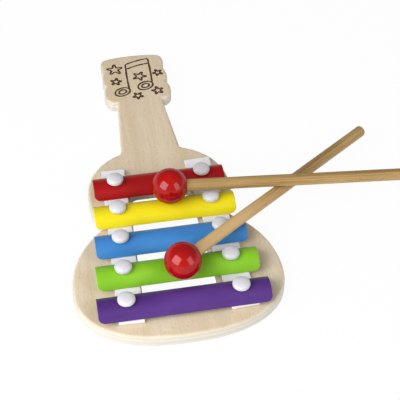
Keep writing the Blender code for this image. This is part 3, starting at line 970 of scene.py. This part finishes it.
def make_bamboo(name, pale_length):
    """Waxed bamboo: pale cells between dark bundles of fibre, coloured paler next to the ball up to a length.
    """
    material, tree, shader = start_material(name, IOR=1.5)
    place = add(tree, "Attribute", {"attribute_name": "upright"}).outputs["Vector"]
    bundles = pattern(tree, "TexNoise", place, (0.9, 0.9, 90), Detail=3.0, Roughness=0.6)
    fibres = pattern(tree, "TexNoise", place, (0.35, 0.35, 7), Detail=2.0)
    patches = pattern(tree, "TexNoise", place, (6, 6, 45), Detail=1.0)
    height = add(tree, "SeparateXYZ", Vector=place).outputs["Z"]
    straw = tinted(tree, "#B7975F", "#8F6B39", bundles, 0.34, 0.66)
    straw = tinted(tree, straw, "#7C5A2E", fibres, 0.55, 0.72, most=0.5)
    straw = tinted(tree, straw, "#CDAB74", patches, 0.45, 0.75, most=0.4)
    # Paler colour next to the ball end, for the given length along the rod.
    straw = tinted(tree, straw, "#FAD499", height, pale_length + fade, pale_length - fade, most=0.43)
    rough = add(tree, "MapRange", Value=bundles, To_Min=0.42, To_Max=0.6)
    relief = add(tree, "Bump", Height=bundles, Strength=0.4, Distance=0.1 * mm)
    feed(tree, shader, Base_Color=straw, Roughness=rough, Normal=relief)
    return material


bamboos = {
    "lower_mallet": make_bamboo("part_pale_bamboo", pale_length=0.07),
    "upper_mallet": make_bamboo("straw_brown_bamboo", pale_length=0.0),
}
print("bamboos:", ", ".join(bamboo.name for bamboo in bamboos.values()))

# %% Upright ball and stick
bore_radius = 0.0038
bore_mouth_round = 0.0006
sphere_steps = 60
stick_end_round = 0.0007
stick_steps = 40
stick_rings = 60
stick_waviness = 0.01
stick_wave_length = 0.07


def ball_profile():
    """Sphere from its far pole round to the bore, a rounded mouth, and the bore down to its floor."""
    mouth = bore_radius + bore_mouth_round
    stop = math.degrees(math.acos(mouth / ball_radius))
    sphere = arc((0.0, 0.0), ball_radius, -90.0, stop, sphere_steps)
    mouth_z = ball_radius * math.sin(math.radians(stop)) - bore_mouth_round
    lip = arc((mouth, mouth_z), bore_mouth_round, 90.0, 180.0, rim_steps)
    floor_z = ball_radius - ball_bore_depth
    return np.vstack([sphere, lip, [(bore_radius, floor_z), (0.0, floor_z)]])


def stick_surface(start, stop, radius):
    """Rod with rounded ends whose radius shrinks here and there: r (1 - c (1 + sin 3a sin kz))."""
    round_r = radius - stick_end_round
    lower = arc((round_r, start + stick_end_round), stick_end_round, -90.0, 0.0, rim_steps)
    upper = arc((round_r, stop - stick_end_round), stick_end_round, 0.0, 90.0, rim_steps)
    z = np.linspace(lower[-1, 1], upper[0, 1], stick_rings)[1:-1]
    side = np.stack([np.full(len(z), radius), z], axis=1)
    points, faces = spun(np.vstack([[(0.0, start)], lower, side, upper, [(0.0, stop)]]), stick_steps)
    angle = np.arctan2(points[:, 1], points[:, 0])
    wave = np.sin(3 * angle) * np.sin(points[:, 2] * math.tau / stick_wave_length)
    share = 1 - stick_waviness * (1 + wave)
    return points * np.stack([share, share, np.ones(len(share))], axis=1), faces


print("a ball's profile has", len(ball_profile()), "points")

# %% Balls and sticks
ball_steps = 112


def turn_to(way):
    """The turn that lays +Z along a direction: a level side, the side square to it, the direction."""
    side = np.cross((0.0, 0.0, 1.0), way)
    side = side / np.linalg.norm(side)
    return np.stack([side, np.cross(way, side), way])


def laid(surface, centre, way):
    """Turns an upright surface so that its +Z runs along a direction, and moves it to a centre."""
    points, faces = surface
    return centre + points @ turn_to(way), faces


def keep_upright(mesh, centre, way):
    """Stores where each vertex was before it was laid on the mallet's line."""
    upright = (points_of(mesh) - centre) @ turn_to(way).T
    mesh.attributes.new("upright", "FLOAT_VECTOR", "POINT").data.foreach_set("vector", upright.ravel())


for name, (centre, way, start, stop, radius) in mallet_lines.items():
    surface = laid(spun(ball_profile(), ball_steps), centre, way)
    ball = make_piece(name + "_ball_surface", surface, lacquer, name, "red_lacquer", name + "_ball")
    surface = laid(stick_surface(start, stop, radius), centre, way)
    stick = make_piece(name + "_stick_surface", surface, bamboos[name], name, "bamboo", name + "_stick")
    keep_upright(stick.data, centre, way)
    print(name, "ball", len(ball.data.polygons), "faces, stick", len(stick.data.polygons), "faces")

# %% [markdown]
# ## Studio
#
# The camera looks down on the toy at 45 degrees from a little to its left, through a long lens
# from 70 cm away. Two soft boxes light it: one close by on the left, which gives the balls
# their bright window of light and throws the soft shadows to the right, and a taller one
# further away on the right. The world adds a plain light, brighter near the horizon and towards
# the front, as in a room with pale walls.
#
# The floor is white paper. Paper that only reflects light would turn grey around the toy, so
# to the camera and to mirrors it also glows a little, and so does the world just above it. The
# toy itself isn't lit by that glow, because Light Path tells the rays apart, and the toy's
# shadow still shows.

# %% Camera
camera_target = np.array([0.02214, -0.0249, 0.01])
camera_azimuth = math.radians(-10.064)
camera_elevation = math.radians(45.0)
camera_distance = 0.7
picture_side = 400
focal_length_pixels = 1182.8


def way_to(azimuth, elevation):
    """Unit vector away from the object: azimuth 0 is -Y, and elevation rises from the floor."""
    flat = math.cos(elevation)
    return np.array([math.sin(azimuth) * flat, -math.cos(azimuth) * flat, math.sin(elevation)])


def aimed(obj, place, target):
    """Puts an object at a place and turns its -Z to a target."""
    obj.location = place
    obj.rotation_euler = Vector(target - place).to_track_quat("-Z", "Y").to_euler()
    bpy.context.scene.collection.objects.link(obj)


camera = bpy.data.cameras.new("camera")
camera.lens = camera.sensor_width * focal_length_pixels / picture_side
camera_object = bpy.data.objects.new("camera", camera)
camera_place = camera_target + camera_distance * way_to(camera_azimuth, camera_elevation)
aimed(camera_object, camera_place, camera_target)
bpy.context.scene.camera = camera_object
print(f"lens {camera.lens:.1f} mm on a {camera.sensor_width:.0f} mm sensor")

# %% Lamps
def soft_box(name, azimuth, elevation, distance, width, height, watts):
    """A rectangular lamp that faces the toy."""
    lamp = bpy.data.lights.new(name, "AREA")
    lamp.shape, lamp.size, lamp.size_y, lamp.energy = "RECTANGLE", width, height, watts
    place = camera_target + distance * way_to(math.radians(azimuth), math.radians(elevation))
    aimed(bpy.data.objects.new(name, lamp), place, camera_target)


soft_box("left_soft_box", azimuth=-58.0, elevation=36.0, distance=0.8, width=0.66, height=0.64, watts=6.95)
soft_box("right_soft_box", azimuth=45.0, elevation=28.0, distance=1.3, width=0.66, height=1.0, watts=5.5)
print("lamps:", ", ".join(lamp.name for lamp in bpy.data.lights))

# %% World
maximum = {"operation": "MAXIMUM"}
white_light = (1.0, 1.0, 1.0, 1.0)


def seen_rays(tree):
    """1 for rays by which the camera, mirrors and glass see a thing, 0 for those that light the toy."""
    rays = add(tree, "LightPath").outputs
    seen = add(tree, "Math", maximum, _0=rays["Is Camera Ray"], _1=rays["Is Glossy Ray"])
    return add(tree, "Math", maximum, _0=seen, _1=rays["Is Transmission Ray"])


world = bpy.data.worlds.new("studio")
bpy.context.scene.world = world
world.use_nodes = True
sky = world.node_tree
heading = add(sky, "SeparateXYZ", Vector=add(sky, "TexCoord").outputs["Generated"])
light = add(sky, "MapRange", Value=heading.outputs["Z"], From_Max=0.5, To_Min=0.5, To_Max=0.36)
fall = add(sky, "MapRange", Value=heading.outputs["Y"], From_Min=-0.8, From_Max=0.8, To_Min=1.2, To_Max=0.6)
light = add(sky, "Math", multiply, _0=light, _1=fall)
low = add(sky, "MapRange", Value=heading.outputs["Z"], From_Min=0.08, From_Max=0.2, To_Min=1.0, To_Max=0.0)
white = add(sky, "Math", multiply, _0=low, _1=seen_rays(sky))
light = add(sky, "Mix", Factor=white, A=light, B=1.0)
feed(sky, sky.nodes["Background"], Color=white_light, Strength=light)
print("world:", len(sky.nodes), "nodes")

# %% Floor
floor_half_size = 6.0
paper_glow = 0.95
floor_z = cad_box[0].z


def make_paper():
    """Matt white paper that also glows for the camera, mirrors and glass."""
    material, tree, shader = start_material("white_paper", Base_Color="#F0F0F0", Roughness=1.0, IOR=1.4)
    glow = add(tree, "Emission", Color=white_light, Strength=1.0)
    share = add(tree, "Math", multiply, _0=seen_rays(tree), _1=paper_glow)
    both = add(tree, "MixShader", _0=share, _1=shader, _2=glow)
    feed(tree, tree.nodes["Material Output"], Surface=both)
    return material


floor_points = np.column_stack([square * floor_half_size, np.full(4, floor_z)])
floor_mesh = bpy.data.meshes.new("floor")
floor_mesh.from_pydata(floor_points.tolist(), [], [(0, 1, 2, 3)])
floor = bpy.data.objects.new("floor", floor_mesh)
floor_mesh.materials.append(make_paper())
bpy.context.scene.collection.objects.link(floor)
print(f"floor: {2 * floor_half_size:.0f} m wide, at height {floor_z:.4f}")

bpy.context.scene.view_settings.view_transform = "Standard"

# %% [markdown]
# ## Size
#
# The size of the solids, which the dressed toy must keep.

# %% The size of the solids
print("solids", [[round(v * 1000, 2) for v in c] for c in cad_box])
